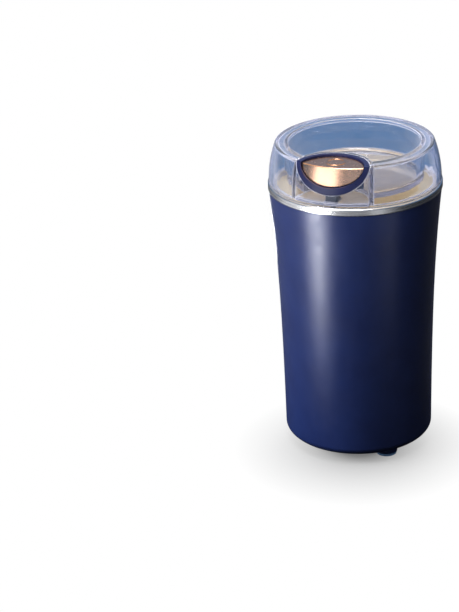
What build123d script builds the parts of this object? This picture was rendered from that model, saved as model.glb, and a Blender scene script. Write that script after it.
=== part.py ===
from build123d import *
import os
from math import atan2, cos, pi, radians, sin, sqrt, tan

# Blade coffee grinder with a press button in its clear lid.
# Millimetres. +Z is up and the button faces -Y. The origin lies under the shaft, where the feet stand.

os.makedirs("parts", exist_ok=True)

# Fits between pieces
fit_gap = 0.2
slide_gap = 0.4
run_gap = 0.05
overrun = 2.0
quarter_turn = 90

# Housing
foot_height = 4.6
housing_height = 153.7
housing_top_radius = 49.6
housing_waist_height = 79.0
waist_draw = 4.85
foot_draw = 6.2
housing_foot_lean = 0.6
housing_top_lean = 6.2
housing_wall = 2.4
corner_width = 8.0
corner_height = 5.5
ledge_width = 2.2
ledge_height = 2.6

# Trim ring
ring_height = 4.3
ring_proud = 0.4
ring_width = 2.8
ring_top_round = 1.1
ring_foot_round = 0.5

# Lid
lid_height = 23.0
lid_step = 0.6
lid_wall = 2.2
lid_draw = 4.1
rim_width = 7.5
rim_outer_round = 1.2
rim_inner_round = 0.8
dish_stand = 4.0
dish_draft = 1.4
dish_round = 2.0
skirt_depth = 2.8
shelf_height = 0.6

# Button pocket in the lid
pocket_setback = 1.2
pocket_radius = 21.2
pocket_wall = 2.0
window_drop = 15.8

# Bezel
bezel_side = 2.6
bezel_foot = 3.9
bezel_proud = 0.3
bezel_lip = 0.8
bezel_depth = 12.0

# Button
press_travel = 3.0
cap_sink = 1.0
cap_wall = 1.4
cap_round = 0.5
mark_radius = 5.4
mark_width = 0.8
mark_height = 0.25
carrier_height = 10.0
carrier_wall = 1.6
stem_width = 6.8
stem_depth = 3.6
stem_round = 0.8
stem_setback = 4.9
stem_foot_depth = 6.6
stem_foot_height = 9.0
stem_gap = 0.3
cover_thickness = 1.6
spring_setback = 11.2
spring_radius = 3.0
spring_wire = 0.8
spring_turns = 6
coil_steps = 48
post_radius = 2.1
post_height = 3.0

# Bowl and its frame
bowl_depth = 43.8
bowl_sheet = 0.8
bowl_corner = 8.0
bowl_lip = 2.0
bowl_hole_radius = 5.4
frame_flange = 2.4
frame_wall = 1.6
frame_floor = 3.0
frame_gap = 0.3
floor_gap = 2.2
frame_hole_radius = 8.0
frame_post_radius = 3.5
frame_post_height = 11.5
frame_post_setout = 7.0
frame_rib_width = 2.0
frame_rib_height = 3.0

# Switch
rod_radius = 1.4
rod_setout = 0.7
rod_foot_thickness = 2.0
rod_drop = 1.8
plunger_radius = 1.5
plunger_setback = 2.9
plunger_seat = 3.0
plunger_spare = 1.2
switch_width = 10.0
switch_depth = 8.0
switch_height = 16.0
bracket_sheet = 1.6

# Blade
blade_length = 60.0
blade_width = 12.0
blade_tip_width = 8.0
blade_sheet = 1.6
blade_flat = 9.0
blade_rise = 8.0
grind_start = 3.0
grind_width = 2.6
grind_depth = 1.1
spacer_radius = 6.0
spacer_height = 3.0
spacer_stand = 2.4
nut_radius = 5.0
nut_height = 3.2
nut_dome = 2.2
nut_ceiling = 0.4

# Rotor
shaft_radius = 3.0
shaft_thread_radius = 2.4
shaft_tail = 18.0
armature_radius = 14.0
armature_slots = 12
slot_width = 2.4
slot_depth = 6.0
slot_mouth = 1.2
slot_lip = 0.9
winding_overhang = 6.0
winding_round = 2.0
winding_bore_radius = 4.5
commutator_radius = 8.5
commutator_length = 7.0
commutator_bars = 12
commutator_slit = 0.6
fan_radius = 24.0
fan_disc = 1.6
fan_height = 7.0
fan_hub_radius = 6.0
fan_blades = 9
fan_blade_sheet = 1.4
fan_drop = 8.0
fan_blade_lean = 25.0

# Stator and brackets
core_edge = 2.5
core_width = 50.0
core_stack = 22.0
core_round = 6.0
air_gap = 0.6
coil_reach = 16.5
coil_thickness = 6.0
coil_side = 6.4
coil_inner = 31.6
coil_end_gap = 0.6
coil_round = 3.0
side_window_height = 14.0
side_window_wall = 1.4
side_window_edge = 2.5
bolt_reach = 26.5
bolt_radius = 1.6
bolt_head_radius = 2.9
bolt_head_height = 2.2
plate_edge = 1.0
plate_sheet = 3.0
leg_width = 5.0
upper_leg = 11.0
lower_leg = 17.0
wing_margin = 4.5
bearing_radius = 7.0
bearing_length = 6.5
bearing_stand = 2.0
damper_height = 2.5
mount_screw_radius = 1.4
mount_head_radius = 2.7
mount_head_height = 2.0
mount_screw_length = 13.0

# Brushes
brush_width = 5.0
brush_height = 4.0
brush_length = 11.0
holder_wall = 1.2
holder_start = 13.4
holder_length = 9.0
brush_gap = 0.2

# Base
base_edge = 4.9
base_thickness = 2.4
base_recess = 0.2
boss_setback = 5.0
boss_radius = 3.4
boss_height = 10.0
boss_rib = 2.0
boss_count = 3
base_screw_radius = 1.3
base_head_radius = 2.6
base_head_height = 1.3
base_screw_length = 9.0
vent_count = 16
vent_inner_radius = 11.5
vent_width = 2.6
vent_margin = 0.7
foot_setback = 6.9
foot_radius = 6.4
foot_inset = 0.4
foot_round = 0.6
pad_height = 1.8
foot_count = 3
foot_turn = -42.0
foot_stud_radius = 2.0
foot_barb_radius = 2.7
foot_barb_height = 1.6

# Cord gland
gland_height = 22.0
gland_radius = 6.4
gland_lip = 1.6
gland_neck_radius = 4.6
gland_bore_radius = 3.2
gland_inner_lip = 1.6
gland_inner_radius = 5.8

# Levels worked out from the sizes above
shell_low = foot_height
shell_top = shell_low + housing_height
waist_level = shell_low + housing_waist_height
ring_top = shell_top + ring_height
rim_level = ring_top + lid_height
dish_floor = ring_top + dish_stand
shelf_level = ring_top + shelf_height
skirt_low = ring_top - skirt_depth
housing_waist_radius = housing_top_radius - waist_draw
housing_base_radius = housing_top_radius - foot_draw
ring_radius = housing_top_radius + ring_proud
ring_bore_radius = ring_radius - ring_width
skirt_radius = ring_bore_radius - frame_gap
lid_foot_radius = ring_radius - lid_step
rim_radius = lid_foot_radius - lid_draw
dish_mouth_radius = rim_radius - rim_width
dish_foot_radius = dish_mouth_radius - dish_draft
flange_level = shell_top + frame_gap
flange_top = flange_level + bowl_sheet
bowl_floor = flange_top - bowl_depth
frame_floor_top = bowl_floor - bowl_sheet - floor_gap
frame_floor_low = frame_floor_top - frame_floor
ledge_top = flange_level - frame_flange
ledge_low = ledge_top - ledge_height

pocket_reach = rim_radius - pocket_setback
bezel_radius = pocket_radius - fit_gap
bezel_drop = window_drop - fit_gap
sight_radius = bezel_radius - bezel_side
sight_drop = bezel_drop - bezel_foot
cap_radius = sight_radius - slide_gap
cap_drop = sight_drop - slide_gap
cap_top = rim_level - cap_sink
cap_inset = bezel_lip + slide_gap
carrier_top = cap_top - cap_wall
carrier_low = carrier_top - carrier_height
carrier_inset = cap_inset + cap_wall + fit_gap
ceiling_level = carrier_top - carrier_wall
cover_top = shelf_level + cover_thickness
rod_top = ring_top
stem_low = rod_top + stem_gap
stem_reach = pocket_reach - stem_setback
stem_back = stem_reach - stem_depth / 2
spring_reach = pocket_reach - spring_setback
mark_reach = pocket_reach - cap_radius / 2

rod_reach = stem_reach + rod_setout
plunger_reach = rod_reach - plunger_setback
frame_outer_radius = rod_reach - rod_radius - frame_gap
cup_radius = frame_outer_radius - frame_wall
bowl_radius = cup_radius - frame_gap - bowl_sheet
rod_low = frame_floor_low - rod_drop - rod_foot_thickness
plunger_stand = press_travel + plunger_spare
switch_top = rod_low - plunger_stand
switch_well = plunger_seat + press_travel + plunger_spare
switch_back = plunger_reach - switch_depth / 2

frame_post_reach = bolt_reach + frame_post_setout
plate_width = 2 * (bearing_radius + plate_edge)
upper_wing = frame_post_reach + wing_margin
lower_wing = bolt_reach + wing_margin
core_length = 2 * (bolt_reach + core_edge)
side_window_start = armature_radius + air_gap + side_window_wall
side_window_width = bolt_reach - side_window_edge - side_window_start
side_window_reach = side_window_start + side_window_width / 2
bracket_top = frame_floor_low - frame_post_height - damper_height
bracket_low = bracket_top - plate_sheet
core_top = bracket_low - upper_leg
core_low = core_top - core_stack
lower_plate_top = core_low - lower_leg
lower_plate_low = lower_plate_top - plate_sheet
winding_low = core_low - winding_overhang
commutator_top = winding_low - run_gap
commutator_low = commutator_top - commutator_length
shaft_low = lower_plate_low - shaft_tail
blade_low = bowl_floor + spacer_stand + spacer_height
nut_low = blade_low + blade_sheet
fan_top = lower_plate_low - fan_drop
base_low = shell_low + base_recess
base_top = base_low + base_thickness
opening_radius = housing_base_radius - base_edge
boss_reach = opening_radius - boss_setback
foot_reach = opening_radius - foot_setback
boss_turn = foot_turn + 2 * quarter_turn / foot_count
vent_outer_radius = foot_reach - foot_radius - vent_margin
vent_length = vent_outer_radius - vent_inner_radius
vent_reach = (vent_outer_radius + vent_inner_radius) / 2
gland_level = shell_low + gland_height
gland_rise_share = (gland_height + gland_radius - corner_height) / (housing_waist_height - corner_height)
gland_seat = housing_base_radius + (housing_waist_radius - housing_base_radius) * gland_rise_share
gland_inner_face = sqrt((housing_base_radius - housing_wall) ** 2 - gland_inner_radius**2) - fit_gap
rib_length = housing_base_radius - housing_wall / 2 - boss_reach
frame_radius = housing_top_radius - housing_wall - ledge_width / 2
cup_mouth_radius = cup_radius + bowl_lip
seal_bore_radius = shaft_radius + slide_gap
frame_rib_start = frame_hole_radius + frame_wall
wing_rise = (blade_length / 2 - blade_flat) * tan(radians(blade_rise))
wing_length = (blade_length / 2 - blade_flat) / cos(radians(blade_rise))
wing_taper = atan2(blade_width / 2 - blade_tip_width / 2, wing_length)
grind_slope = atan2(grind_depth, grind_width)
nut_cap_radius = nut_radius * cos(pi / 6) - run_gap
nut_top = nut_low + nut_height
slot_outer_radius = armature_radius - slot_lip
winding_radius = slot_outer_radius - fit_gap
coil_height = core_stack + 2 * coil_end_gap
bolt_length = bracket_top - lower_plate_low + bolt_head_height + bolt_radius
brush_level = commutator_low + commutator_length / 2
brush_middle = commutator_radius + brush_gap + brush_length / 2
holder_width = brush_width + 2 * fit_gap + 2 * holder_wall
holder_top = brush_level + brush_height / 2 + fit_gap + holder_wall
coil_low = cover_top + spring_wire
coil_top = ceiling_level - spring_wire
coil_shares = [step / coil_steps for step in range(coil_steps * spring_turns + 1)]


def housing_face(inset):
    """Half section of the housing's solid form, drawn in by an inset."""
    axis_point = (0, shell_low + inset)
    corner_point = (housing_base_radius - corner_width, shell_low + inset)
    foot_point = (housing_base_radius - inset, shell_low + corner_height)
    waist_point = (housing_waist_radius - inset, waist_level)
    top_point = (housing_top_radius - inset, shell_top)
    foot_heading = (sin(radians(housing_foot_lean)), cos(radians(housing_foot_lean)))
    top_heading = (sin(radians(housing_top_lean)), cos(radians(housing_top_lean)))
    with BuildSketch(Plane.XZ) as section:
        with BuildLine():
            EllipticalCenterArc(
                (housing_base_radius - corner_width, shell_low + corner_height),
                corner_width - inset,
                corner_height - inset,
                start_angle=-quarter_turn,
                arc_size=quarter_turn,
            )
            Spline(foot_point, waist_point, top_point, tangents=[foot_heading, top_heading])
            Polyline(top_point, (0, shell_top), axis_point, corner_point)
        make_face()
    return section.sketch


def lid_face(inset):
    """Half section of the lid's outside, moved towards the shaft by an inset."""
    foot_point = (lid_foot_radius - inset, shelf_level)
    rim_point = (rim_radius - inset, rim_level)
    with BuildSketch(Plane.XZ) as section:
        with BuildLine():
            TangentArc(foot_point, rim_point, tangent=(0, 1))
            Polyline(
                rim_point,
                (rim_radius - inset, rim_level + overrun),
                (0, rim_level + overrun),
                (0, shelf_level),
                foot_point,
            )
        make_face()
    return section.sketch


def half_moon(width, drop, top):
    """Lower half of an ellipse that hangs from the rim, cut off level at the top."""
    with BuildSketch(Plane.XZ) as section:
        with Locations((0, rim_level)):
            Ellipse(width, drop)
        with Locations((0, top)):
            Rectangle(
                width + width + overrun,
                drop + overrun,
                align=(Align.CENTER, Align.MIN),
                mode=Mode.SUBTRACT,
            )
    return section.sketch


def pocket_disc(radius, level):
    """Disc about the pocket's own axis."""
    with BuildSketch(Plane.XY.offset(level)) as section:
        with Locations((0, -pocket_reach)):
            Circle(radius)
    return section.sketch


def disc(radius, level):
    """Disc about the shaft."""
    with BuildSketch(Plane.XY.offset(level)) as section:
        Circle(radius)
    return section.sketch


def disc_at(radius, level, place):
    """Disc about an upright axis at a place in plan."""
    with BuildSketch(Plane.XY.offset(level)) as section:
        with Locations(place):
            Circle(radius)
    return section.sketch


def outline_face(*points):
    """Half section with straight sides."""
    with BuildSketch(Plane.XZ) as section:
        with BuildLine():
            Polyline(*points, close=True)
        make_face()
    return section.sketch


def bolt_face(head_radius, head_height, shank_radius, low, length):
    """Half section of a screw whose head sits below a level and whose shank rises from it."""
    return outline_face(
        (0, low - head_height),
        (head_radius, low - head_height),
        (head_radius, low),
        (shank_radius, low),
        (shank_radius, low + length),
        (0, low + length),
    )


def save(builder, name):
    """Name a finished piece and write its file."""
    builder.part.label = name
    export_step(builder.part, f"parts/{name}.step")


# Housing

with BuildPart() as housing_shell:
    revolve(housing_face(0), axis=Axis.Z)
    revolve(housing_face(housing_wall), axis=Axis.Z, mode=Mode.SUBTRACT)
    # Ledge that the inner frame rests on
    with BuildSketch(Plane.XY.offset(ledge_low)):
        Circle(frame_radius + ledge_width / 2)
        Circle(frame_radius - ledge_width, mode=Mode.SUBTRACT)
    extrude(amount=ledge_height)
    # Screw bosses and their ribs
    with BuildSketch(Plane.XY.offset(base_top)):
        with PolarLocations(boss_reach, boss_count, start_angle=boss_turn):
            Circle(boss_radius)
            Rectangle(rib_length, boss_rib, align=(Align.MIN, Align.CENTER))
    extrude(amount=boss_height)
    with BuildSketch(Plane.XY.offset(base_top)):
        with PolarLocations(boss_reach, boss_count, start_angle=boss_turn):
            Circle(base_screw_radius + run_gap)
    extrude(amount=boss_height, mode=Mode.SUBTRACT)
    # Opening for the base plate, and the gland's hole in the rear wall
    extrude(disc(opening_radius, 0), amount=base_top, mode=Mode.SUBTRACT)
    with BuildSketch(Plane.XZ.offset(-gland_seat - overrun)):
        with Locations((0, gland_level)):
            Circle(gland_neck_radius + fit_gap)
    extrude(amount=gland_seat - gland_inner_face + 2 * overrun, mode=Mode.SUBTRACT)
save(housing_shell, "housing_shell")

with BuildPart() as trim_ring:
    with BuildSketch(Plane.XY.offset(shell_top)):
        Circle(ring_radius)
        Circle(ring_bore_radius, mode=Mode.SUBTRACT)
    extrude(amount=ring_height)
    ring_edges = trim_ring.edges().filter_by(GeomType.CIRCLE)
    fillet(ring_edges.group_by(Axis.Z)[-1].sort_by(SortBy.RADIUS)[-1], ring_top_round)
    ring_edges = trim_ring.edges().filter_by(GeomType.CIRCLE)
    fillet(ring_edges.group_by(Axis.Z)[0].sort_by(SortBy.RADIUS)[-1], ring_foot_round)
save(trim_ring, "trim_ring")

# Lid and what is fixed in it

with BuildPart() as pocket_tube:
    extrude(pocket_disc(pocket_radius + pocket_wall, shelf_level), amount=rim_level - shelf_level)
    extrude(pocket_disc(pocket_radius, shelf_level), amount=rim_level - shelf_level, mode=Mode.SUBTRACT)
    revolve(lid_face(lid_wall / 2), axis=Axis.Z, mode=Mode.INTERSECT)

with BuildPart() as pocket_space:
    extrude(pocket_disc(pocket_radius, shelf_level), amount=rim_level - shelf_level + overrun)
    revolve(lid_face(lid_wall), axis=Axis.Z, mode=Mode.INTERSECT)

with BuildPart() as window_space:
    extrude(half_moon(pocket_radius, window_drop, rim_level + overrun), amount=ring_radius + overrun)
    revolve(lid_face(lid_wall + fit_gap), axis=Axis.Z, mode=Mode.SUBTRACT)

with BuildPart() as lid_shell:
    with BuildSketch(Plane.XZ) as lid_section:
        with BuildLine():
            TangentArc((lid_foot_radius, ring_top), (rim_radius, rim_level), tangent=(0, 1))
            Polyline(
                (rim_radius, rim_level),
                (dish_mouth_radius, rim_level),
                (dish_foot_radius, dish_floor),
                (0, dish_floor),
                (0, dish_floor - lid_wall),
                (dish_foot_radius + lid_wall, dish_floor - lid_wall),
                (dish_mouth_radius + lid_wall, rim_level - lid_wall),
                (rim_radius - lid_wall, rim_level - lid_wall),
            )
            TangentArc(
                (lid_foot_radius - lid_wall, shelf_level),
                (rim_radius - lid_wall, rim_level - lid_wall),
                tangent=(0, 1),
            )
            Polyline(
                (lid_foot_radius - lid_wall, shelf_level),
                (skirt_radius - lid_wall, shelf_level),
                (skirt_radius - lid_wall, skirt_low),
                (skirt_radius, skirt_low),
                (skirt_radius, ring_top),
                (lid_foot_radius, ring_top),
            )
        make_face()
        rim_corners = lid_section.vertices().group_by(Axis.Y)[-1].sort_by(Axis.X)
        fillet(rim_corners[-1], rim_outer_round)
        fillet(rim_corners[0], rim_inner_round)
        fillet(lid_section.vertices().sort_by_distance((dish_foot_radius, dish_floor))[0], dish_round)
    revolve(axis=Axis.Z)
    add(pocket_tube.part)
    add(pocket_space.part, mode=Mode.SUBTRACT)
    add(window_space.part, mode=Mode.SUBTRACT)
save(lid_shell, "lid_shell")

with BuildPart() as bezel_collar:
    extrude(pocket_disc(bezel_radius, rim_level - bezel_depth), amount=bezel_depth)
    extrude(pocket_disc(sight_radius, rim_level - bezel_depth), amount=bezel_depth, mode=Mode.SUBTRACT)

with BuildPart() as bezel_cheeks:
    extrude(half_moon(bezel_radius, bezel_drop, rim_level), amount=ring_radius + overrun)
    add(bezel_collar.part, mode=Mode.INTERSECT)
    revolve(lid_face(-bezel_proud), axis=Axis.Z, mode=Mode.INTERSECT)

with BuildPart() as button_bezel:
    # Lip that follows the lid's wall
    extrude(half_moon(bezel_radius, bezel_drop, rim_level), amount=ring_radius + overrun)
    sight = half_moon(sight_radius, sight_drop, rim_level)
    extrude(sight, amount=ring_radius + overrun, mode=Mode.SUBTRACT)
    revolve(lid_face(-bezel_proud), axis=Axis.Z, mode=Mode.INTERSECT)
    revolve(lid_face(bezel_lip), axis=Axis.Z, mode=Mode.SUBTRACT)
    # Collar round the back of the button, and the cheeks that join it to the lip
    add(bezel_cheeks.part)
save(button_bezel, "button_bezel")

with BuildPart() as pocket_cover:
    extrude(pocket_disc(pocket_radius - fit_gap, shelf_level), amount=cover_thickness)
    revolve(lid_face(lid_wall + fit_gap), axis=Axis.Z, mode=Mode.INTERSECT)
    with BuildSketch(Plane.XY.offset(shelf_level)):
        with Locations((0, -stem_back - stem_foot_depth / 2)):
            RectangleRounded(stem_width + 2 * slide_gap, stem_foot_depth + 2 * slide_gap, stem_round)
    extrude(amount=cover_thickness, mode=Mode.SUBTRACT)
    # Post inside the spring
    extrude(disc_at(post_radius, cover_top, (0, -spring_reach)), amount=post_height)
save(pocket_cover, "pocket_cover")

# Button

with BuildPart() as cap_plate:
    extrude(pocket_disc(cap_radius, carrier_top), amount=cap_wall)
    revolve(lid_face(cap_inset), axis=Axis.Z, mode=Mode.INTERSECT)

with BuildPart() as button_cap:
    # Front plate behind the bezel's lip
    extrude(half_moon(cap_radius, cap_drop, cap_top), amount=ring_radius + overrun)
    revolve(lid_face(cap_inset), axis=Axis.Z, mode=Mode.INTERSECT)
    revolve(lid_face(cap_inset + cap_wall), axis=Axis.Z, mode=Mode.SUBTRACT)
    extrude(pocket_disc(cap_radius, shelf_level), amount=rim_level - shelf_level, mode=Mode.INTERSECT)
    add(cap_plate.part)
    brow = button_cap.edges().group_by(Axis.Z)[-1].sort_by(Axis.Y)[0]
    fillet(brow, cap_round)
    # Plain raised ring on the top
    with BuildSketch(Plane.XY.offset(cap_top)):
        with Locations((0, -mark_reach)):
            Circle(mark_radius)
            Circle(mark_radius - mark_width, mode=Mode.SUBTRACT)
    extrude(amount=mark_height)
save(button_cap, "button_cap")

with BuildPart() as carrier_hollow:
    extrude(pocket_disc(cap_radius - carrier_wall, carrier_low), amount=carrier_height - carrier_wall)
    revolve(lid_face(carrier_inset + carrier_wall), axis=Axis.Z, mode=Mode.INTERSECT)

with BuildPart() as button_carrier:
    extrude(pocket_disc(cap_radius, carrier_low), amount=carrier_height)
    revolve(lid_face(carrier_inset), axis=Axis.Z, mode=Mode.INTERSECT)
    add(carrier_hollow.part, mode=Mode.SUBTRACT)
    # Post inside the spring
    extrude(disc_at(post_radius, ceiling_level, (0, -spring_reach)), amount=-post_height)
save(button_carrier, "button_carrier")

with BuildPart() as button_stem:
    with BuildSketch(Plane.XY.offset(stem_low)):
        with Locations((0, -stem_reach)):
            RectangleRounded(stem_width, stem_depth, stem_round)
    extrude(amount=ceiling_level - stem_low)
    # Deeper foot that comes forward under the carrier
    with BuildSketch(Plane.XY.offset(stem_low)):
        with Locations((0, -stem_back - stem_foot_depth / 2)):
            RectangleRounded(stem_width, stem_foot_depth, stem_round)
    extrude(amount=stem_foot_height)
save(button_stem, "button_stem")


def coil_point(angle):
    """Point on the spring's centre line after a turn through an angle."""
    rise = (coil_top - coil_low) * angle / (2 * pi * spring_turns)
    return Vector(spring_radius * cos(angle), spring_radius * sin(angle) - spring_reach, coil_low + rise)


def coil_heading(angle):
    """Direction of the spring's centre line after a turn through an angle."""
    rise = (coil_top - coil_low) / (2 * pi * spring_turns)
    return Vector(-spring_radius * sin(angle), spring_radius * cos(angle), rise).normalized()


def coil_gap():
    """Least gap between the wire and itself, measured on points half a turn or more apart."""
    steps = [coil_point(2 * pi * turn_share) for turn_share in coil_shares]
    apart = len(coil_shares) // (2 * spring_turns)
    pairs = [(a, b) for i, a in enumerate(steps) for b in steps[i + apart :]]
    return min((a - b).length for a, b in pairs) - spring_wire


with BuildPart() as button_spring:
    with BuildLine() as coil_path:
        quarter = pi / 2
        first = coil_point(0) - coil_heading(0) * spring_wire
        Line(first, coil_point(0))
        for step in range(4 * spring_turns):
            start = coil_point(step * quarter)
            finish = coil_point((step + 1) * quarter)
            start_heading = coil_heading(step * quarter)
            finish_heading = coil_heading((step + 1) * quarter)
            # Biarc: two arcs that share a tangent half-way
            chord = finish - start
            spread = 2 * (1 - start_heading.dot(finish_heading))
            lean = chord.dot(start_heading + finish_heading)
            reach = (sqrt(lean * lean + spread * chord.dot(chord)) - lean) / spread
            middle = (start + start_heading * reach + finish - finish_heading * reach) * 0.5
            middle_heading = (finish - finish_heading * reach) - (start + start_heading * reach)
            TangentArc(start, middle, tangent=start_heading)
            TangentArc(middle, finish, tangent=middle_heading)
        last = coil_point(2 * pi * spring_turns)
        Line(last, last + coil_heading(2 * pi * spring_turns) * spring_wire)
    with BuildSketch(Plane(origin=first, z_dir=coil_heading(0))):
        Circle(spring_wire / 2)
    sweep(path=coil_path.line)
save(button_spring, "button_spring")
print("least gap in the button spring:", round(coil_gap(), 3))

# Bowl, frame and switch

with BuildPart() as grinding_bowl:
    with BuildSketch(Plane.XZ) as bowl_section:
        with BuildLine():
            FilletPolyline(
                (bowl_hole_radius, bowl_floor),
                (bowl_radius, bowl_floor),
                (bowl_radius, flange_top),
                (ring_bore_radius - frame_gap, flange_top),
                radius=(bowl_corner, bowl_lip + bowl_sheet),
            )
            FilletPolyline(
                (bowl_hole_radius, bowl_floor - bowl_sheet),
                (bowl_radius + bowl_sheet, bowl_floor - bowl_sheet),
                (bowl_radius + bowl_sheet, flange_level),
                (ring_bore_radius - frame_gap, flange_level),
                radius=(bowl_corner + bowl_sheet, bowl_lip),
            )
            Line((bowl_hole_radius, bowl_floor), (bowl_hole_radius, bowl_floor - bowl_sheet))
            Line((ring_bore_radius - frame_gap, flange_top), (ring_bore_radius - frame_gap, flange_level))
        make_face()
    revolve(axis=Axis.Z)
    rod_hole = disc_at(rod_radius + slide_gap, flange_level, (0, -rod_reach))
    extrude(rod_hole, amount=bowl_sheet, mode=Mode.SUBTRACT)
save(grinding_bowl, "grinding_bowl")

with BuildPart() as inner_frame:
    revolve(
        outline_face(
            (frame_hole_radius, frame_floor_low),
            (frame_outer_radius, frame_floor_low),
            (frame_outer_radius, ledge_top),
            (frame_radius, ledge_top),
            (frame_radius, flange_level),
            (cup_mouth_radius, flange_level),
            (cup_radius, flange_level - bowl_lip),
            (cup_radius, frame_floor_top),
            (frame_hole_radius, frame_floor_top),
        ),
        axis=Axis.Z,
    )
    # Guide hole for the rod
    rod_guide = disc_at(rod_radius + fit_gap, ledge_top, (0, -rod_reach))
    extrude(rod_guide, amount=frame_flange, mode=Mode.SUBTRACT)
    # Posts for the motor, and the ribs that tie them to the middle of the floor
    with BuildSketch(Plane.XY.offset(frame_floor_low)):
        with Locations((-frame_post_reach, 0), (frame_post_reach, 0)):
            Circle(frame_post_radius)
    extrude(amount=-frame_post_height)
    with BuildSketch(Plane.XY.offset(frame_floor_low)):
        Rectangle(2 * frame_post_reach, frame_rib_width)
        Circle(frame_rib_start, mode=Mode.SUBTRACT)
    extrude(amount=-frame_rib_height)
    with BuildSketch(Plane.XY.offset(frame_floor_low - frame_post_height)):
        with Locations((-frame_post_reach, 0), (frame_post_reach, 0)):
            Circle(mount_screw_radius + run_gap)
    extrude(amount=frame_post_height, mode=Mode.SUBTRACT)
    # Bracket behind the switch
    with BuildSketch(Plane.XY.offset(frame_floor_low)):
        with Locations((0, -switch_back)):
            Rectangle(switch_width, bracket_sheet, align=(Align.CENTER, Align.MIN))
    extrude(amount=switch_top - switch_height - frame_floor_low)
save(inner_frame, "inner_frame")

with BuildPart() as switch_rod:
    extrude(disc_at(rod_radius, rod_low, (0, -rod_reach)), amount=rod_top - rod_low)
    with BuildSketch(Plane.XY.offset(rod_low)):
        with Locations((0, -(rod_reach + plunger_reach) / 2)):
            SlotCenterToCenter(rod_reach - plunger_reach, 2 * rod_radius, rotation=quarter_turn)
    extrude(amount=rod_foot_thickness)
save(switch_rod, "switch_rod")

with BuildPart() as switch_plunger:
    extrude(disc_at(plunger_radius, rod_low, (0, -plunger_reach)), amount=-plunger_stand - plunger_seat)
save(switch_plunger, "switch_plunger")

with BuildPart() as push_switch:
    with BuildSketch(Plane.XY.offset(switch_top)):
        with Locations((0, -plunger_reach)):
            Rectangle(switch_width, switch_depth)
    extrude(amount=-switch_height)
    extrude(
        disc_at(plunger_radius + fit_gap, switch_top, (0, -plunger_reach)),
        amount=-switch_well,
        mode=Mode.SUBTRACT,
    )
save(push_switch, "push_switch")

with BuildPart() as shaft_seal:
    revolve(
        outline_face(
            (seal_bore_radius, frame_floor_low),
            (frame_hole_radius - fit_gap, frame_floor_low),
            (frame_hole_radius - fit_gap, frame_floor_top),
            (frame_hole_radius + bowl_hole_radius, frame_floor_top),
            (frame_hole_radius + bowl_hole_radius, bowl_floor - bowl_sheet),
            (bowl_hole_radius - fit_gap, bowl_floor - bowl_sheet),
            (bowl_hole_radius - fit_gap, bowl_floor + bowl_sheet),
            (seal_bore_radius, bowl_floor + bowl_sheet),
        ),
        axis=Axis.Z,
    )
save(shaft_seal, "shaft_seal")

# Blade

with BuildPart() as blade:
    with BuildSketch(Plane.XZ.offset(-blade_width / 2)):
        with BuildLine():
            Polyline(
                (-blade_length / 2, blade_low - wing_rise),
                (-blade_flat, blade_low),
                (blade_flat, blade_low),
                (blade_length / 2, blade_low + wing_rise),
                (blade_length / 2, blade_low + wing_rise + blade_sheet),
                (blade_flat, blade_low + blade_sheet),
                (-blade_flat, blade_low + blade_sheet),
                (-blade_length / 2, blade_low - wing_rise + blade_sheet),
                close=True,
            )
        make_face()
    extrude(amount=blade_width)
    # Plan form: rounded tips, narrower than the middle
    with BuildSketch(Plane.XY.offset(blade_low - wing_rise)) as blade_plan:
        with BuildLine():
            Polyline(
                (-blade_length / 2, -blade_tip_width / 2),
                (-blade_flat, -blade_width / 2),
                (blade_flat, -blade_width / 2),
                (blade_length / 2, -blade_tip_width / 2),
                (blade_length / 2, blade_tip_width / 2),
                (blade_flat, blade_width / 2),
                (-blade_flat, blade_width / 2),
                (-blade_length / 2, blade_tip_width / 2),
                close=True,
            )
        make_face()
        fillet(blade_plan.vertices().group_by(Axis.X)[0], blade_tip_width / 3)
        fillet(blade_plan.vertices().group_by(Axis.X)[-1], blade_tip_width / 3)
        Circle(shaft_thread_radius + run_gap, mode=Mode.SUBTRACT)
    extrude(amount=2 * wing_rise + blade_sheet, mode=Mode.INTERSECT)
    # Ground edge on the leading side of each wing
    for side in (-1, 1):
        along = Vector(side * cos(radians(blade_rise)), 0, side * sin(radians(blade_rise)))
        across = Vector(0, side, 0)
        edge = along * cos(wing_taper) - across * sin(wing_taper)
        outward = along * sin(wing_taper) + across * cos(wing_taper)
        facing = along.cross(across) * cos(grind_slope) + outward * sin(grind_slope)
        root = Vector(side * blade_flat, side * blade_width / 2, blade_low + blade_sheet)
        grind_place = root + edge * grind_start - outward * grind_width
        with BuildSketch(Plane(origin=grind_place, x_dir=edge, z_dir=facing)):
            Rectangle(wing_length, grind_width + overrun, align=(Align.MIN, Align.MIN))
        extrude(amount=blade_sheet, mode=Mode.SUBTRACT)
save(blade, "blade")

with BuildPart() as blade_spacer:
    extrude(disc(spacer_radius, blade_low - spacer_height), amount=spacer_height)
    extrude(disc(shaft_radius, blade_low - spacer_height), amount=spacer_height, mode=Mode.SUBTRACT)
save(blade_spacer, "blade_spacer")

with BuildPart() as blade_nut:
    with BuildSketch(Plane.XY.offset(nut_low)):
        RegularPolygon(nut_radius, 6)
    extrude(amount=nut_height)
    with BuildSketch(Plane.XZ):
        with BuildLine():
            TangentArc((0, nut_top + nut_dome), (nut_cap_radius, nut_top), tangent=(1, 0))
            Polyline((nut_cap_radius, nut_top), (0, nut_top), (0, nut_top + nut_dome))
        make_face()
    revolve(axis=Axis.Z)
    extrude(disc(shaft_thread_radius, nut_low), amount=nut_height - nut_ceiling, mode=Mode.SUBTRACT)
save(blade_nut, "blade_nut")

# Rotor

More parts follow.
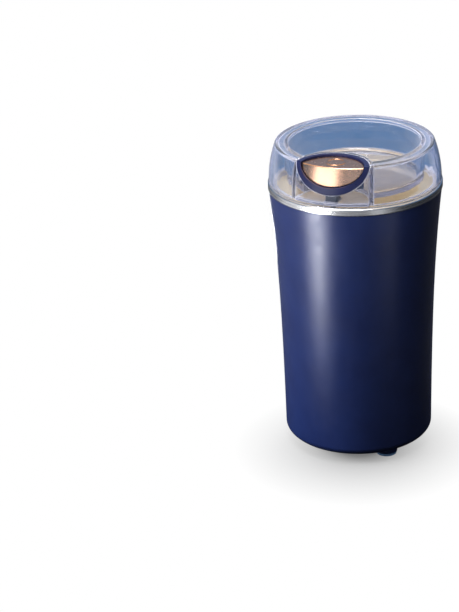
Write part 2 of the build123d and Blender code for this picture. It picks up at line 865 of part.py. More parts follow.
with BuildPart() as motor_shaft:
    revolve(
        outline_face(
            (0, shaft_low),
            (shaft_radius, shaft_low),
            (shaft_radius, blade_low),
            (shaft_thread_radius, blade_low),
            (shaft_thread_radius, nut_top - nut_ceiling - fit_gap),
            (0, nut_top - nut_ceiling - fit_gap),
        ),
        axis=Axis.Z,
    )
save(motor_shaft, "motor_shaft")

with BuildPart() as armature_core:
    with BuildSketch(Plane.XY.offset(core_low)):
        Circle(armature_radius)
        Circle(shaft_radius, mode=Mode.SUBTRACT)
        with PolarLocations(slot_outer_radius, armature_slots):
            Rectangle(slot_depth, slot_width, align=(Align.MAX, Align.CENTER), mode=Mode.SUBTRACT)
            Rectangle(slot_lip + overrun, slot_mouth, align=(Align.MIN, Align.CENTER), mode=Mode.SUBTRACT)
    extrude(amount=core_stack)
save(armature_core, "armature_core")

with BuildPart() as armature_winding:
    with BuildSketch(Plane.XY.offset(core_low)):
        with PolarLocations(slot_outer_radius - fit_gap, armature_slots):
            Rectangle(slot_depth - 2 * fit_gap, slot_width - 2 * fit_gap, align=(Align.MAX, Align.CENTER))
    extrude(amount=core_stack)
    with BuildSketch(Plane.XZ):
        with Locations((winding_bore_radius, core_top), (winding_bore_radius, winding_low)):
            Rectangle(winding_radius - winding_bore_radius, winding_overhang, align=(Align.MIN, Align.MIN))
    revolve(axis=Axis.Z)
    winding_rims = armature_winding.edges().filter_by(GeomType.CIRCLE).sort_by(Axis.Z)
    fillet([winding_rims[0], winding_rims[1], winding_rims[-1], winding_rims[-2]], winding_round)
save(armature_winding, "armature_winding")

with BuildPart() as commutator:
    with BuildSketch(Plane.XY.offset(commutator_low)):
        Circle(commutator_radius)
        Circle(shaft_radius, mode=Mode.SUBTRACT)
        with PolarLocations(commutator_radius, commutator_bars):
            Rectangle(2 * commutator_slit, commutator_slit, mode=Mode.SUBTRACT)
    extrude(amount=commutator_length)
save(commutator, "commutator")

with BuildPart() as cooling_fan:
    extrude(disc(fan_radius, fan_top - fan_disc), amount=fan_disc)
    extrude(disc(fan_hub_radius, fan_top - fan_height), amount=fan_height)
    with BuildSketch(Plane.XY.offset(fan_top - fan_height)):
        with PolarLocations(fan_hub_radius - fan_blade_sheet, fan_blades):
            Rectangle(
                fan_radius - fan_hub_radius,
                fan_blade_sheet,
                rotation=fan_blade_lean,
                align=(Align.MIN, Align.CENTER),
            )
    extrude(amount=fan_height)
    extrude(disc(shaft_radius, fan_top - fan_height), amount=fan_height, mode=Mode.SUBTRACT)
save(cooling_fan, "cooling_fan")

# Stator and brackets

with BuildPart() as field_core:
    with BuildSketch(Plane.XY.offset(core_low)):
        RectangleRounded(core_length, core_width, core_round)
        Circle(armature_radius + air_gap, mode=Mode.SUBTRACT)
        with GridLocations(coil_inner + coil_side, 2 * coil_reach, 2, 2):
            Rectangle(coil_side + 2 * fit_gap, coil_thickness + 2 * fit_gap, mode=Mode.SUBTRACT)
        with Locations((-side_window_reach, 0), (side_window_reach, 0)):
            Rectangle(side_window_width, side_window_height, mode=Mode.SUBTRACT)
        with Locations((-bolt_reach, 0), (bolt_reach, 0)):
            Circle(bolt_radius + run_gap, mode=Mode.SUBTRACT)
    extrude(amount=core_stack)
save(field_core, "field_core")

with BuildPart() as field_coils:
    for side in (-1, 1):
        with BuildSketch(Plane.XZ.offset(side * coil_reach - coil_thickness / 2)):
            with Locations((0, core_low + core_stack / 2)):
                RectangleRounded(coil_inner + 2 * coil_side, coil_height + 2 * coil_side, coil_round)
                Rectangle(coil_inner, coil_height, mode=Mode.SUBTRACT)
        extrude(amount=coil_thickness)
save(field_coils, "field_coils")


def bracket_face(plate_low, leg_start, leg_length, wing):
    """Front outline of a motor bracket: a plate with two legs to the core."""
    with BuildSketch(Plane.XZ.offset(-plate_width / 2)) as section:
        with Locations((0, plate_low)):
            Rectangle(2 * wing, plate_sheet, align=(Align.CENTER, Align.MIN))
        with Locations((-bolt_reach, leg_start), (bolt_reach, leg_start)):
            Rectangle(leg_width, leg_length, align=(Align.CENTER, Align.MIN))
    return section.sketch


with BuildPart() as upper_bracket:
    extrude(bracket_face(bracket_low, core_top, upper_leg, upper_wing), amount=plate_width)
    with BuildSketch(Plane.XY.offset(core_top)):
        Circle(bearing_radius + run_gap)
        with Locations((-bolt_reach, 0), (bolt_reach, 0)):
            Circle(bolt_radius + run_gap)
        with Locations((-frame_post_reach, 0), (frame_post_reach, 0)):
            Circle(mount_screw_radius + run_gap)
    extrude(amount=upper_leg + plate_sheet, mode=Mode.SUBTRACT)
save(upper_bracket, "upper_bracket")

with BuildPart() as lower_bracket:
    extrude(bracket_face(lower_plate_low, lower_plate_top, lower_leg, lower_wing), amount=plate_width)
    with BuildSketch(Plane.XY.offset(lower_plate_low)):
        Circle(bearing_radius + run_gap)
        with Locations((-bolt_reach, 0), (bolt_reach, 0)):
            Circle(bolt_radius + run_gap)
    extrude(amount=lower_leg + plate_sheet, mode=Mode.SUBTRACT)
save(lower_bracket, "lower_bracket")

for bearing_name, plate_level in (("upper_bearing", bracket_low), ("lower_bearing", lower_plate_low)):
    with BuildPart() as bearing:
        with BuildSketch(Plane.XY.offset(plate_level - bearing_stand)):
            Circle(bearing_radius)
            Circle(shaft_radius + run_gap, mode=Mode.SUBTRACT)
        extrude(amount=bearing_length)
    save(bearing, bearing_name)

with BuildPart() as motor_bolt:
    revolve(
        bolt_face(bolt_head_radius, bolt_head_height, bolt_radius, lower_plate_low, bolt_length),
        axis=Axis.Z,
    )

with BuildPart() as motor_bolts:
    with Locations((-bolt_reach, 0), (bolt_reach, 0)):
        add(motor_bolt.part)
save(motor_bolts, "motor_bolts")

with BuildPart() as motor_nuts:
    with BuildSketch(Plane.XY.offset(bracket_top)):
        with Locations((-bolt_reach, 0), (bolt_reach, 0)):
            RegularPolygon(bolt_head_radius, 6)
            Circle(bolt_radius + run_gap, mode=Mode.SUBTRACT)
    extrude(amount=bolt_head_height)
save(motor_nuts, "motor_nuts")

with BuildPart() as mount_screw:
    revolve(
        bolt_face(mount_head_radius, mount_head_height, mount_screw_radius, bracket_low, mount_screw_length),
        axis=Axis.Z,
    )

with BuildPart() as mount_screws:
    with Locations((-frame_post_reach, 0), (frame_post_reach, 0)):
        add(mount_screw.part)
save(mount_screws, "mount_screws")

with BuildPart() as motor_dampers:
    with BuildSketch(Plane.XY.offset(bracket_top)):
        with Locations((-frame_post_reach, 0), (frame_post_reach, 0)):
            Circle(frame_post_radius)
            Circle(mount_screw_radius + run_gap, mode=Mode.SUBTRACT)
    extrude(amount=damper_height)
save(motor_dampers, "motor_dampers")

# Brushes

with BuildPart() as carbon_brushes:
    with Locations((-brush_middle, 0, brush_level), (brush_middle, 0, brush_level)):
        Box(brush_length, brush_width, brush_height)
save(carbon_brushes, "carbon_brushes")

with BuildPart() as brush_holders:
    for side in (-1, 1):
        with BuildSketch(Plane.YZ.offset(side * holder_start)):
            with Locations((0, lower_plate_top)):
                Rectangle(holder_width, holder_top - lower_plate_top, align=(Align.CENTER, Align.MIN))
            with Locations((0, brush_level)):
                Rectangle(brush_width + 2 * fit_gap, brush_height + 2 * fit_gap, mode=Mode.SUBTRACT)
        extrude(amount=side * holder_length)
save(brush_holders, "brush_holders")

# Base

with BuildPart() as base_screw:
    revolve(
        outline_face(
            (0, base_low),
            (base_head_radius, base_low),
            (base_screw_radius, base_low + base_head_height),
            (base_screw_radius, base_low + base_screw_length),
            (0, base_low + base_screw_length),
        ),
        axis=Axis.Z,
    )

with BuildPart() as screw_seat:
    revolve(
        outline_face(
            (0, base_low),
            (base_head_radius + fit_gap, base_low),
            (base_screw_radius + fit_gap, base_low + base_head_height),
            (base_screw_radius + fit_gap, base_low + base_screw_length),
            (0, base_low + base_screw_length),
        ),
        axis=Axis.Z,
    )

with BuildPart() as base_plate:
    with BuildSketch(Plane.XY.offset(base_low)):
        Circle(opening_radius - frame_gap)
        with PolarLocations(vent_reach, vent_count):
            SlotOverall(vent_length, vent_width, mode=Mode.SUBTRACT)
    extrude(amount=base_thickness)
    # Stubs that the rubber feet are pushed into
    with BuildSketch(Plane.XY.offset(pad_height)):
        with PolarLocations(foot_reach, foot_count, start_angle=foot_turn):
            Circle(foot_radius)
    extrude(amount=base_low - pad_height)
    with BuildSketch(Plane.XY.offset(pad_height)):
        with PolarLocations(foot_reach, foot_count, start_angle=foot_turn):
            Circle(foot_stud_radius + run_gap)
    extrude(amount=base_top - pad_height, mode=Mode.SUBTRACT)
    with PolarLocations(boss_reach, boss_count, start_angle=boss_turn):
        add(screw_seat.part, mode=Mode.SUBTRACT)
save(base_plate, "base_plate")

with BuildPart() as base_screws:
    with PolarLocations(boss_reach, boss_count, start_angle=boss_turn):
        add(base_screw.part)
save(base_screws, "base_screws")

with BuildPart() as rubber_foot:
    with BuildSketch(Plane.XZ) as foot_section:
        with BuildLine():
            Polyline(
                (0, 0),
                (foot_radius - foot_inset, 0),
                (foot_radius - foot_inset, pad_height),
                (foot_stud_radius, pad_height),
                (foot_stud_radius, base_top),
                (foot_barb_radius, base_top),
                (foot_stud_radius, base_top + foot_barb_height),
                (0, base_top + foot_barb_height),
                close=True,
            )
        make_face()
        fillet(foot_section.vertices().group_by(Axis.Y)[0].sort_by(Axis.X)[-1], foot_round)
    revolve(axis=Axis.Z)

with BuildPart() as rubber_feet:
    with PolarLocations(foot_reach, foot_count, start_angle=foot_turn):
        add(rubber_foot.part)
save(rubber_feet, "rubber_feet")

with BuildPart() as cord_gland:
    with BuildSketch(Plane.YZ):
        with BuildLine():
            Polyline(
                (gland_inner_face - gland_inner_lip, gland_level + gland_bore_radius),
                (gland_inner_face - gland_inner_lip, gland_level + gland_inner_radius),
                (gland_inner_face, gland_level + gland_inner_radius),
                (gland_inner_face, gland_level + gland_neck_radius),
                (gland_seat, gland_level + gland_neck_radius),
                (gland_seat, gland_level + gland_radius),
                (gland_seat + gland_lip, gland_level + gland_radius),
                (gland_seat + gland_lip, gland_level + gland_bore_radius),
                close=True,
            )
        make_face()
    revolve(axis=Axis((0, 0, gland_level), (0, 1, 0)))
save(cord_gland, "cord_gland")
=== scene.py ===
from math import cos, pi, radians, sin

import bpy
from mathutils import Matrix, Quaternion, Vector


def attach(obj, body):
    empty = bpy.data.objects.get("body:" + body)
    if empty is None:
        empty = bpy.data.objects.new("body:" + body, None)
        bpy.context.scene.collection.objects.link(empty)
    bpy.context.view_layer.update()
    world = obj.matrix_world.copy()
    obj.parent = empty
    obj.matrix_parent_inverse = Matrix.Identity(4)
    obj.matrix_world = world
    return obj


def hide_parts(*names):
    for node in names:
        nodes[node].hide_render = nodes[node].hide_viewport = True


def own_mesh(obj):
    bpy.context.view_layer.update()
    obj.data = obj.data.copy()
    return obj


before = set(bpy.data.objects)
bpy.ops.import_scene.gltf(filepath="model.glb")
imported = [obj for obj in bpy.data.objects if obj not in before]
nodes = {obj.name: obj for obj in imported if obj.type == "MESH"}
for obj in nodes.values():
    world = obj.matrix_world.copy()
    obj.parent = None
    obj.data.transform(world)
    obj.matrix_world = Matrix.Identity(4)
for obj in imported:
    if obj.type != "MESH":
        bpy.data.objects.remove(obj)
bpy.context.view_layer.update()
scene = bpy.context.scene
scene.view_settings.view_transform = "Standard"

MM = 0.001
WHITE = (1, 1, 1, 1)
WALL = "#5C83AE"
CEILING = "#F8E5C8"

# A point times this has no height, so its length is its distance from the shaft.
LEVEL = (1, 1, 0)

# Noise keeps to the middle of its range, so these parts of it are stretched to the whole.
LOW, HIGH = 0.3, 0.7
PATCHES = {"From Min": LOW, "From Max": HIGH}
LINES = {"From Min": 0.25, "From Max": 0.75}


def linear(code):
    """Linear colour of an sRGB hex code."""
    parts = [int(code[i : i + 2], 16) / 255 for i in (1, 3, 5)]
    return [p / 12.92 if p <= 0.04045 else ((p + 0.055) / 1.055) ** 2.4 for p in parts] + [1.0]


def add(tree, kind, sockets=None, stops=None, **settings):
    """Add a node. A socket takes a value, or a link from an output or a node's first output."""
    made = tree.nodes.new("ShaderNode" + kind)
    for name, value in settings.items():
        setattr(made, name, value)
    for name, value in (sockets or {}).items():
        if isinstance(value, bpy.types.Node):
            value = value.outputs[0]
        if isinstance(value, bpy.types.NodeSocket):
            tree.links.new(value, made.inputs[name])
        else:
            made.inputs[name].default_value = value
    for i, (spot, code) in enumerate(stops or []):
        band = made.color_ramp.elements
        stop = band[i] if i < 2 else band.new(spot)
        stop.position = spot
        stop.color = linear(code)
    return made


def finish(name):
    """A new material, its node tree and the place of a point in the part's own frame, in metres."""
    made = bpy.data.materials.new(name)
    made.use_nodes = True
    made.node_tree.nodes.clear()
    tree = made.node_tree
    return made, tree, add(tree, "TexCoord").outputs["Object"]


def moulded(name, pale, deep, gloss, grain, depth, **more):
    """Moulded plastic or rubber: flow clouds in the colour, rubbed patches in the gloss, a grain.
    A real grain is finer than a pixel, so it is drawn coarser."""
    cloud, patch = 18 * MM, 7 * MM
    polished, dulled = gloss - 0.03, gloss + 0.05
    made, tree, at = finish(name)
    flow = add(tree, "TexNoise", {"Vector": at, "Scale": 1 / cloud, "Detail": 3.0})
    colour = add(tree, "ValToRGB", {"Fac": flow}, [(LOW, deep), (HIGH, pale)])
    rubbed = add(tree, "TexNoise", {"Vector": at, "Scale": 1 / patch, "Detail": 4.0})
    rough = add(tree, "MapRange", {"Value": rubbed, **PATCHES,
                                   "To Min": polished, "To Max": dulled})
    pits = add(tree, "TexNoise", {"Vector": at, "Scale": 1 / grain, "Detail": 2.0})
    dents = add(tree, "Bump", {"Height": pits, "Distance": depth})
    sockets = {"Base Color": colour, "Roughness": rough, "IOR": 1.53, "Normal": dents}
    shader = add(tree, "BsdfPrincipled", {**sockets, **more})
    add(tree, "OutputMaterial", {"Surface": shader})
    return made


def spun(name, pale, deep, gloss, line, depth, bare=1.0):
    """Metal turned, spun or polished on a spindle: rings about the shaft in the gloss and the bump.
    Real rings are finer than a pixel and are drawn coarser. What isn't bare has a dull film."""
    cloud = 9 * MM
    polished, dulled = gloss - 0.06, gloss + 0.08
    made, tree, at = finish(name)
    flat = add(tree, "VectorMath", {0: at, 1: LEVEL}, operation="MULTIPLY")
    radius = add(tree, "VectorMath", {0: flat}, operation="LENGTH").outputs["Value"]
    height = add(tree, "SeparateXYZ", {"Vector": at}).outputs["Z"]
    turned = add(tree, "CombineXYZ", {"X": radius, "Z": height})
    rings = add(tree, "TexNoise", {"Vector": turned, "Scale": 1 / line, "Detail": 3.0,
                                   "Roughness": 0.7})
    haze = add(tree, "TexNoise", {"Vector": at, "Scale": 1 / cloud, "Detail": 3.0})
    colour = add(tree, "ValToRGB", {"Fac": haze}, [(LOW, deep), (HIGH, pale)])
    rough = add(tree, "MapRange", {"Value": rings, **LINES,
                                   "To Min": polished, "To Max": dulled})
    grooves = add(tree, "Bump", {"Height": rings, "Distance": depth})
    shader = add(tree, "BsdfPrincipled", {"Base Color": colour, "Metallic": bare,
                                          "Roughness": rough, "Normal": grooves})
    add(tree, "OutputMaterial", {"Surface": shader})
    return made


def drawn(name, pale, deep, gloss, grain, lay, depth):
    """Metal with a grain along the way that it was rolled, ground, stacked or poured."""
    cloud = 6 * MM
    polished, dulled = gloss - 0.07, gloss + 0.09
    made, tree, at = finish(name)
    along = add(tree, "Mapping", {"Vector": at, "Scale": lay})
    lines = add(tree, "TexNoise", {"Vector": along, "Scale": 1 / grain, "Detail": 4.0,
                                   "Roughness": 0.65})
    haze = add(tree, "TexNoise", {"Vector": at, "Scale": 1 / cloud, "Detail": 3.0})
    colour = add(tree, "ValToRGB", {"Fac": haze}, [(LOW, deep), (HIGH, pale)])
    rough = add(tree, "MapRange", {"Value": lines, **LINES,
                                   "To Min": polished, "To Max": dulled})
    grooves = add(tree, "Bump", {"Height": lines, "Distance": depth})
    shader = add(tree, "BsdfPrincipled", {"Base Color": colour, "Metallic": 1.0,
                                          "Roughness": rough, "Normal": grooves})
    add(tree, "OutputMaterial", {"Surface": shader})
    return made


def metallised(name, pale, deep, gloss, edge_round):
    """A metal film under lacquer: smooth, with soft edges, faint clouds and a fine orange peel."""
    cloud, patch = 8 * MM, 4 * MM
    peel_size, peel_depth = 0.9 * MM, 0.0015 * MM
    polished, dulled = gloss - 0.01, gloss + 0.02
    made, tree, at = finish(name)
    haze = add(tree, "TexNoise", {"Vector": at, "Scale": 1 / cloud, "Detail": 3.0})
    colour = add(tree, "ValToRGB", {"Fac": haze}, [(LOW, deep), (HIGH, pale)])
    rubbed = add(tree, "TexNoise", {"Vector": at, "Scale": 1 / patch, "Detail": 4.0})
    rough = add(tree, "MapRange", {"Value": rubbed, **PATCHES,
                                   "To Min": polished, "To Max": dulled})
    soft = add(tree, "Bevel", {"Radius": edge_round}, samples=6)
    peel = add(tree, "TexNoise", {"Vector": at, "Scale": 1 / peel_size, "Detail": 1.0})
    swell = add(tree, "Bump", {"Height": peel, "Distance": peel_depth, "Normal": soft})
    shader = add(tree, "BsdfPrincipled", {"Base Color": colour, "Metallic": 1.0,
                                          "Roughness": rough, "Coat Weight": 0.7,
                                          "Coat Roughness": 0.2, "Normal": swell})
    add(tree, "OutputMaterial", {"Surface": shader})
    return made


def clear(name, tint, edge_tint, edge_density, edge_round):
    """Clear moulded plastic: polished, with slow waves, a tint that thick places deepen, a painted
    highlight on its edges, and a painted pale sheen where the eye looks along a wall, weaker on the
    inner walls."""
    wave, wave_depth, smear = 8 * MM, 0.12 * MM, 3 * MM
    polished, smeared = 0.01, 0.05
    # An edge is where the rounded face turns from the flat one. These are cosines of that turn.
    edge_from, edge_full = 0.995, 0.93
    # Slant where the painted sheen starts, its most, and the share of it that the inner walls have
    painted_sheen_from, painted_sheen_most, inner_share = 0.56, 0.78, 0.3
    inner_radius, outer_radius = 39 * MM, 43 * MM
    # Colours of the painted sheen and of the painted highlight on the edges
    painted_sheen_colour, painted_highlight_colour = "#CFD1F7", "#F0F1FC"
    made, tree, at = finish(name)
    waves = add(tree, "TexNoise", {"Vector": at, "Scale": 1 / wave, "Detail": 2.0})
    wiped = add(tree, "TexNoise", {"Vector": at, "Scale": 1 / smear, "Detail": 3.0})
    rough = add(tree, "MapRange", {"Value": wiped, "From Min": 0.35, "From Max": 0.75,
                                   "To Min": polished, "To Max": smeared})
    soft = add(tree, "Bevel", {"Radius": edge_round}, samples=6)
    swell = add(tree, "Bump", {"Height": waves, "Distance": wave_depth, "Normal": soft})
    # Painted highlight on the edges: where the bevel turns, the colour goes white and the plastic
    # less clear
    face = add(tree, "NewGeometry").outputs["Normal"]
    turn = add(tree, "VectorMath", {0: soft, 1: face}, operation="DOT_PRODUCT").outputs["Value"]
    bend = add(tree, "Math", {0: turn}, operation="ABSOLUTE")
    edge_highlight_mask = add(tree, "MapRange", {"Value": bend, "From Min": edge_from, "From Max": edge_full})
    # Painted sheen: where the eye looks along a wall, the colour goes lilac and the plastic less
    # clear
    slant = add(tree, "LayerWeight", {"Blend": 0.5}).outputs["Facing"]
    along = add(tree, "MapRange", {"Value": slant, "From Min": painted_sheen_from, "To Max": painted_sheen_most})
    flat = add(tree, "VectorMath", {0: at, 1: LEVEL}, operation="MULTIPLY")
    radius = add(tree, "VectorMath", {0: flat}, operation="LENGTH").outputs["Value"]
    outward = add(tree, "MapRange", {"Value": radius, "From Min": inner_radius,
                                     "From Max": outer_radius, "To Min": inner_share})
    painted_sheen_mask = add(tree, "Math", {0: along, 1: outward}, operation="MULTIPLY")
    pale = add(tree, "Math", {0: edge_highlight_mask, 1: painted_sheen_mask}, operation="MAXIMUM")
    colour = add(tree, "ValToRGB", {"Fac": pale},
                 [(0.0, tint), (0.7, painted_sheen_colour), (1.0, painted_highlight_colour)])
    see = add(tree, "MapRange", {"Value": pale, "To Min": 1.0, "To Max": 0.35})
    shader = add(tree, "BsdfPrincipled", {"Base Color": colour, "Roughness": rough, "IOR": 1.57,
                                          "Transmission Weight": see,
                                          "Specular IOR Level": 0.25, "Normal": swell})
    inside = add(tree, "VolumeAbsorption", {"Color": linear(edge_tint), "Density": edge_density})
    add(tree, "OutputMaterial", {"Surface": shader, "Volume": inside})
    return made


def wound(name, pale, deep, pitch):
    """Enamelled wire in layers: a ripple at the wire's pitch under a clear varnish, with painted
    shade in the grooves between the wires.
    """
    wave_at_scale_1 = pi / 10
    ridge = 0.12 * MM
    between, on_top = 0.42, 0.26
    made, tree, at = finish(name)
    wires = add(tree, "TexWave", {"Vector": at, "Scale": wave_at_scale_1 / pitch,
                                  "Distortion": 0.6, "Detail": 1.0}, bands_direction="Z")
    ripple = wires.outputs["Fac"]
    # Darker between the wires and paler on their tops: painted shade in the grooves
    colour = add(tree, "ValToRGB", {"Fac": ripple}, [(0.1, deep), (0.8, pale)])
    rough = add(tree, "MapRange", {"Value": ripple, "To Min": between, "To Max": on_top})
    layers = add(tree, "Bump", {"Height": ripple, "Distance": ridge})
    shader = add(tree, "BsdfPrincipled", {"Base Color": colour, "Metallic": 0.85,
                                          "Roughness": rough, "Coat Weight": 0.6,
                                          "Coat Roughness": 0.12, "Normal": layers})
    add(tree, "OutputMaterial", {"Surface": shader})
    return made


dressed = [
    # ABS, moulded with a satin grain: deep navy with one broad soft shine.
    (moulded("satin_moulded_abs", "#1F3067", "#1B2A5E", 0.33, 0.45 * MM, 0.006 * MM),
     ["housing_shell"]),
    # ABS, moulded in a polished tool: the same navy, darker and with sharper shines on its edges.
    (moulded("gloss_moulded_abs", "#181D42", "#14183A", 0.3, 0.5 * MM, 0.004 * MM,
             **{"Specular IOR Level": 0.3}),
     ["button_bezel", "button_carrier"]),
    # ABS, moulded in a spark-eroded tool: dull navy with a grain that can be felt.
    (moulded("sparked_moulded_abs", "#262F60", "#212A56", 0.5, 0.6 * MM, 0.03 * MM),
     ["base_plate"]),
    # Acetal, moulded: dark grey and slippery, with a low even shine.
    (moulded("slippery_moulded_acetal", "#3A3E49", "#30343F", 0.32, 0.5 * MM, 0.008 * MM),
     ["button_stem"]),
    # Nylon, moulded: black with a dull, slightly cloudy shine.
    (moulded("dull_moulded_nylon", "#26262A", "#1E1E22", 0.42, 0.6 * MM, 0.015 * MM),
     ["inner_frame", "push_switch", "cooling_fan", "switch_rod", "switch_plunger"]),
    # Silicone rubber, moulded: pale and cloudy, with light from the floor coming through it.
    (moulded("cloudy_moulded_silicone", "#E4EAF2", "#D6DEEA", 0.4, 0.4 * MM, 0.02 * MM,
             **{"Transmission Weight": 0.7, "IOR": 1.41}),
     ["rubber_feet"]),
    # Nitrile rubber, moulded: black and dusty, without shine.
    (moulded("black_moulded_nitrile", "#242424", "#1B1B1B", 0.65, 0.35 * MM, 0.03 * MM,
             **{"Sheen Weight": 0.2}),
     ["shaft_seal", "motor_dampers", "cord_gland"]),
    # Carbon, pressed: dark grey with a faint shine and a sandy grain.
    (moulded("pressed_carbon", "#333336", "#28282B", 0.5, 0.3 * MM, 0.02 * MM),
     ["carbon_brushes"]),
    # Steel strip, plated and polished as a ring: bright, with faint lines that run round.
    (spun("plated_polished_ring", "#DCDDE1", "#CBCCD1", 0.26, 0.25 * MM, 0.004 * MM),
     ["trim_ring"]),
    # Stainless steel, spun and polished, under a dull film: a soft mirror in the photo's warm tone,
    # which is a reflection of warm surroundings painted into its colour.
    (spun("spun_stainless_steel", "#F1E4CA", "#EADCC0", 0.4, 0.3 * MM, 0.01 * MM, 0.85),
     ["grinding_bowl"]),
    # Mild steel, turned and zinc plated: bright grey with tool rings.
    (spun("turned_plated_steel", "#BFC0C4", "#ADAEB3", 0.28, 0.2 * MM, 0.01 * MM),
     ["motor_shaft", "blade_spacer", "blade_nut", "button_spring", "motor_bolts", "motor_nuts",
      "mount_screws", "base_screws"]),
    # Bronze, sintered: dull brown-gold with fine pores.
    (spun("sintered_bronze", "#B08E55", "#947544", 0.45, 0.25 * MM, 0.015 * MM),
     ["upper_bearing", "lower_bearing", "brush_holders", "commutator"]),
    # ABS with a copper film, metallised and lacquered: satin copper that shines in one soft band.
    (metallised("metallised_copper_film", "#D8A98B", "#CD9C7C", 0.26, 0.7 * MM),
     ["button_cap"]),
    # Stainless strip, stamped and ground: grey steel with scratches along the blade.
    (drawn("ground_stainless_strip", "#BDBEC2", "#A6A7AC", 0.3, 0.35 * MM, (0.06, 1, 1),
           0.012 * MM),
     ["blade"]),
    # Electrical iron, stacked in sheets: dark grey with a line for each sheet.
    (drawn("stacked_iron_sheet", "#6A6A6E", "#57575B", 0.45, 0.5 * MM, (0.02, 0.02, 1), 0.05 * MM),
     ["armature_core", "field_core"]),
    # Zinc alloy, die cast: pale grey with a cloudy, slightly rough skin.
    (drawn("die_cast_zinc", "#B4B6B9", "#A0A2A6", 0.48, 0.7 * MM, (1, 1, 1), 0.04 * MM),
     ["upper_bracket", "lower_bracket"]),
    # SAN, moulded clear: like glass, with a painted white highlight on its edges and a painted
    # lilac-blue sheen where the eye looks along a wall.
    (clear("clear_moulded_san", "#FBFBFE", "#B0B2EE", 14.0, 0.9 * MM),
     ["lid_shell", "pocket_cover"]),
    # Copper wire, enamelled and wound: brown-orange with a ripple of wires and painted shade
    # between them.
    (wound("enamelled_copper_wire", "#C0764A", "#7C4022", 0.45 * MM),
     ["armature_winding", "field_coils"]),
]
for look, names in dressed:
    for name in names:
        nodes[name].data.materials.clear()
        nodes[name].data.materials.append(look)
# Lamps shine through clear plastic onto what is under it.
for name in ("lid_shell", "pocket_cover"):
    nodes[name].visible_shadow = False


def pressed(name, node, body):
    """A spring as a piece of its own, with the node's own coil, attached to a body."""
    coil = bpy.data.objects.new(name, nodes[node].data.copy())
    scene.collection.objects.link(coil)
    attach(coil, body)
    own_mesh(coil)
    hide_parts(node)


pressed("button_spring_coil", "button_spring", "lid")


def ground():
    """A pale floor, white to the camera, with the object's shadow round its foot, partly cast by
    the lamps and partly painted by distance from a point. Shiny pieces see it dark near the
    object, with painted shade on the right, and paler far off, with painted light behind and on
    the left."""
    # Distances from the painted shadow's middle where it is deepest and where it ends
    shadow_middle = (5.4 * MM, -17.2 * MM, 0)
    shadow_deep, shadow_end = 14 * MM, 74 * MM
    # White that is left in the shadow, how quickly it comes back, and the shadow's own tone
    least_white, fade, shadow_tone = 0.05, 0.55, 0.25
    # Where each of the paler parts starts, where it is full, and its tone there. Behind and on the
    # left the paleness is painted light.
    behind_from, behind_full, behind_tone = 20 * MM, 200 * MM, 0.12
    far_from, far_full, far_tone = 360 * MM, 500 * MM, 0.6
    left_from, left_full, left_tone = -60 * MM, -220 * MM, 0.1
    # Where painted shade darkens the floor to the right, and the share of its tone that is left
    # there
    right_from, right_full, right_share = -100 * MM, 250 * MM, 0.1

    bpy.ops.mesh.primitive_grid_add(x_subdivisions=8, y_subdivisions=8, size=12)
    floor = bpy.context.object
    floor.name = "floor"
    made, tree, at = finish("pale_floor")
    path = add(tree, "LightPath").outputs
    spot = add(tree, "SeparateXYZ", {"Vector": at}).outputs

    # What the camera sees: white, with a painted shadow near the foot over the lamps' own
    away = add(tree, "VectorMath", {0: at, 1: shadow_middle}, operation="DISTANCE").outputs["Value"]
    clear_of = add(tree, "MapRange", {"Value": away, "From Min": shadow_deep,
                                      "From Max": shadow_end, "To Min": least_white})
    open_share = add(tree, "Math", {0: clear_of, 1: fade}, operation="POWER")
    white_share = add(tree, "Math", {0: open_share, 1: path["Is Camera Ray"]}, operation="MULTIPLY")
    grey_share = add(tree, "Math", {0: path["Is Camera Ray"], 1: shadow_tone}, operation="MULTIPLY")

    # What the pieces see, with painted light and shade
    behind = add(tree, "MapRange", {"Value": spot["Y"], "From Min": behind_from,
                                    "From Max": behind_full, "To Max": behind_tone})
    distance = add(tree, "VectorMath", {0: at}, operation="LENGTH").outputs["Value"]
    rear = add(tree, "Math", {0: spot["Y"], 1: 0.0}, operation="MAXIMUM")
    reach = add(tree, "Math", {0: distance, 1: rear}, operation="SUBTRACT")
    far = add(tree, "MapRange", {"Value": reach, "From Min": far_from, "From Max": far_full,
                                 "To Max": far_tone})
    open_sides = add(tree, "Math", {0: behind, 1: far}, operation="MAXIMUM")
    to_right = add(tree, "Math", {0: spot["X"], 1: spot["Y"]}, operation="ADD")
    painted_right_shade = add(tree, "MapRange", {"Value": to_right, "From Min": right_from,
                                       "From Max": right_full, "To Min": 1.0,
                                       "To Max": right_share})
    painted_left_light = add(tree, "MapRange", {"Value": spot["X"], "From Min": left_from,
                                       "From Max": left_full, "To Max": left_tone})
    dimmed = add(tree, "Math", {0: open_sides, 1: painted_right_shade}, operation="MULTIPLY")
    mirrored = add(tree, "Math", {0: dimmed, 1: painted_left_light}, operation="MAXIMUM")

    pale_share = add(tree, "Math", {0: mirrored, 1: grey_share}, operation="MAXIMUM")
    card = add(tree, "ValToRGB", {"Fac": pale_share}, [(0.0, "#313235"), (1.0, "#F6F6F6")])
    plain = add(tree, "BsdfDiffuse", {"Color": card})
    white = add(tree, "Emission", {"Color": WHITE, "Strength": 1.0})
    wall = add(tree, "Emission", {"Color": linear(WALL), "Strength": 1.0})
    seen = add(tree, "MixShader", {"Fac": white_share, 1: plain, 2: white})
    # Through clear plastic the floor has the walls' colour.
    through = add(tree, "MixShader", {"Fac": path["Is Transmission Ray"], 1: seen, 2: wall})
    add(tree, "OutputMaterial", {"Surface": through})
    floor.data.materials.append(made)


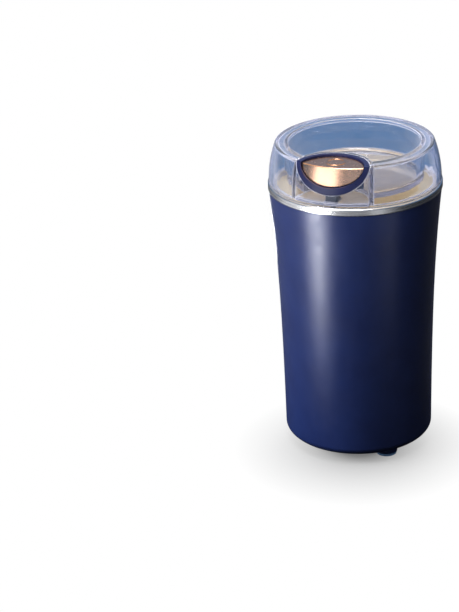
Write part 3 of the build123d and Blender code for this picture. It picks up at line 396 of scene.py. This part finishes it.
def surroundings():
    """White to the camera and dim as a light. Metal and clear plastic show blue-grey walls and a
    warm ceiling."""
    wall_top, ceiling_edge = 0.3, 0.65
    world = bpy.data.worlds.new("studio")
    scene.world = world
    world.use_nodes = True
    tree = world.node_tree
    tree.nodes.clear()
    path = add(tree, "LightPath").outputs
    dim = add(tree, "Background", {"Color": linear("#E6EAF2"), "Strength": 0.03})
    towards = add(tree, "TexCoord").outputs["Generated"]
    height = add(tree, "SeparateXYZ", {"Vector": towards}).outputs["Z"]
    room = add(tree, "ValToRGB", {"Fac": height}, [(wall_top, WALL), (ceiling_edge, CEILING)])
    wall = add(tree, "Background", {"Color": room, "Strength": 1.0})
    white = add(tree, "Background", {"Color": WHITE, "Strength": 1.0})
    mirrored = add(tree, "Math", {0: path["Is Glossy Ray"], 1: path["Is Transmission Ray"]},
                   operation="MAXIMUM")
    shown = add(tree, "MixShader", {"Fac": mirrored, 1: dim, 2: wall})
    whole = add(tree, "MixShader", {"Fac": path["Is Camera Ray"], 1: shown, 2: white})
    add(tree, "OutputWorld", {"Surface": whole})


def lamp(name, azimuth, radius, height, facing, size, power, lights=True, shows=True):
    """A soft box round the object. Azimuth 0 is its front. Facing 0 is level towards the shaft and
    90 is up. One that only shows is a card for what is shiny. One that only lights isn't
    mirrored."""
    light = bpy.data.lights.new(name, "AREA")
    light.shape = "RECTANGLE"
    light.size, light.size_y = size
    light.energy = power
    box = bpy.data.objects.new(name, light)
    scene.collection.objects.link(box)
    az, tilt = radians(azimuth), radians(facing)
    out = Vector((sin(az), -cos(az), 0))
    aim = Vector((0, 0, sin(tilt))) - out * cos(tilt)
    box.location = out * radius + Vector((0, 0, height))
    box.rotation_mode = "QUATERNION"
    box.rotation_quaternion = aim.to_track_quat("-Z", "Y")
    box.visible_camera = False
    box.visible_diffuse = lights
    box.visible_glossy = shows
    box.visible_transmission = False


def viewpoint():
    """The photograph's viewpoint: from above, a little to the right, with the object right of the
    middle."""
    # Size of the picture, focal length, and where the target shows, in pixels
    wide, tall = 459, 612
    focal = 2073.7
    target_x, target_y = 356.8, 291.9
    target = Vector((0, 0, 91.6 * MM))
    azimuth, elevation, lean = radians(17.4), radians(23.41), radians(-0.876)
    distance = 1217 * MM
    sensor = 36
    shown = Vector((target_x - wide / 2, tall / 2 - target_y, -focal)).normalized()
    away = Vector((sin(azimuth) * cos(elevation), -cos(azimuth) * cos(elevation), sin(elevation)))
    lens = bpy.data.cameras.new("viewpoint")
    lens.sensor_width = sensor
    lens.lens = sensor * focal / tall
    camera = bpy.data.objects.new("viewpoint", lens)
    scene.collection.objects.link(camera)
    camera.location = target + away * distance
    level = (-away).to_track_quat("-Z", "Y")
    roll = Quaternion((0, 0, 1), lean)
    camera.rotation_mode = "QUATERNION"
    camera.rotation_quaternion = level @ roll @ shown.rotation_difference(Vector((0, 0, -1)))
    scene.camera = camera


ground()
surroundings()
# Name, azimuth, distance from the shaft, height, facing, size and power, in degrees, metres, watts
lamp("top_soft_box", -100, 0.28, 1.1, -76, (0.6, 0.6), 6.5, shows=False)
lamp("key_soft_box", -60, 0.9, 0.5, -24.5, (0.5, 0.5), 11.3, shows=False)
lamp("fill_soft_box", 6, 0.14, 0.32, -65, (0.12, 0.12), 0.45)
lamp("rear_soft_box", 182, 0.9, 0.5, -24.5, (0.5, 0.5), 9, shows=False)
# Cards over and in front of the object, mostly for the copper
lamp("edge_soft_box", -30, 0.31, 1.1, -72, (0.7, 0.5), 3.9, lights=False)
lamp("low_soft_box", -22, 0.5, 0.24, 0, (0.28, 0.28), 0.84, lights=False)
lamp("right_low_box", 18, 0.5, 0.19, 0, (0.2, 0.18), 0.05, lights=False)
# Cards on the floor, for the upright bands of light on the housing and the shine on the ring
lamp("floor_panel", -33, 0.335, 0.004, 90, (0.12, 0.16), 1.5, lights=False)
lamp("rear_floor_panel", 207, 0.335, 0.004, 90, (0.11, 0.16), 1.2, lights=False)
lamp("side_floor_panel", 51, 0.36, 0.004, 90, (0.09, 0.26), 0.09, lights=False)
viewpoint()
